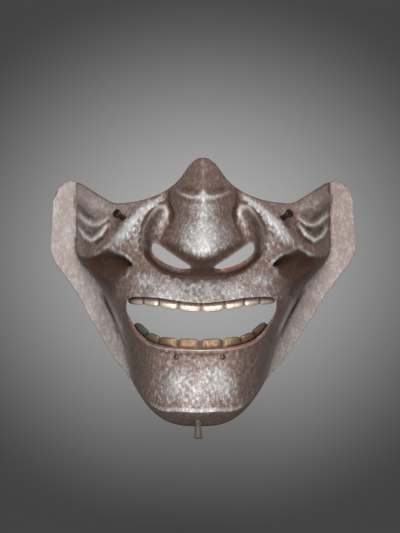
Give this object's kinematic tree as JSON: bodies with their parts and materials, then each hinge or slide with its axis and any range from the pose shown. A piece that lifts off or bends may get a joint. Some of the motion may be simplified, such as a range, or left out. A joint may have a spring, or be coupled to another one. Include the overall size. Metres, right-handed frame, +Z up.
{
  "type": "samurai face guard",
  "caption": "Half mask of embossed russet iron with nose, open toothed mouth, chin peg, cheek posts and turned-out side flanges, lying on its back.",
  "frame": {"origin": "middle of the resting plane under the side flanges, at the centre of the guard's outline", "axes": "+Z up off the flanges, towards the nose; +Y towards the nose bridge; +X to the right as seen from the front"},
  "size_m": [0.1838, 0.1758, 0.1051],
  "materials": {
    "russet_iron": "russet brown patina, hammered, polished grey on the raised forms and darker in the hollows",
    "gilt_copper": "worn pale gilding, dark in the notches",
    "worn_copper": "orange copper with green verdigris in the corners",
    "dark_iron": "dark brown rusted iron",
    "peg_iron": "brown patina, dull",
    "red_lacquer": "red lacquer on the inside of the plate, worn at the rims"
  },
  "bodies": {
    "root": {"face_plate": "russet_iron", "upper_teeth": "gilt_copper", "lower_teeth": "worn_copper", "cord_post_left": "dark_iron", "cord_post_right": "dark_iron", "chin_peg": "peg_iron", "lip_rivet_left": "dark_iron", "lip_rivet_right": "dark_iron"}
  },
  "joints": []
}
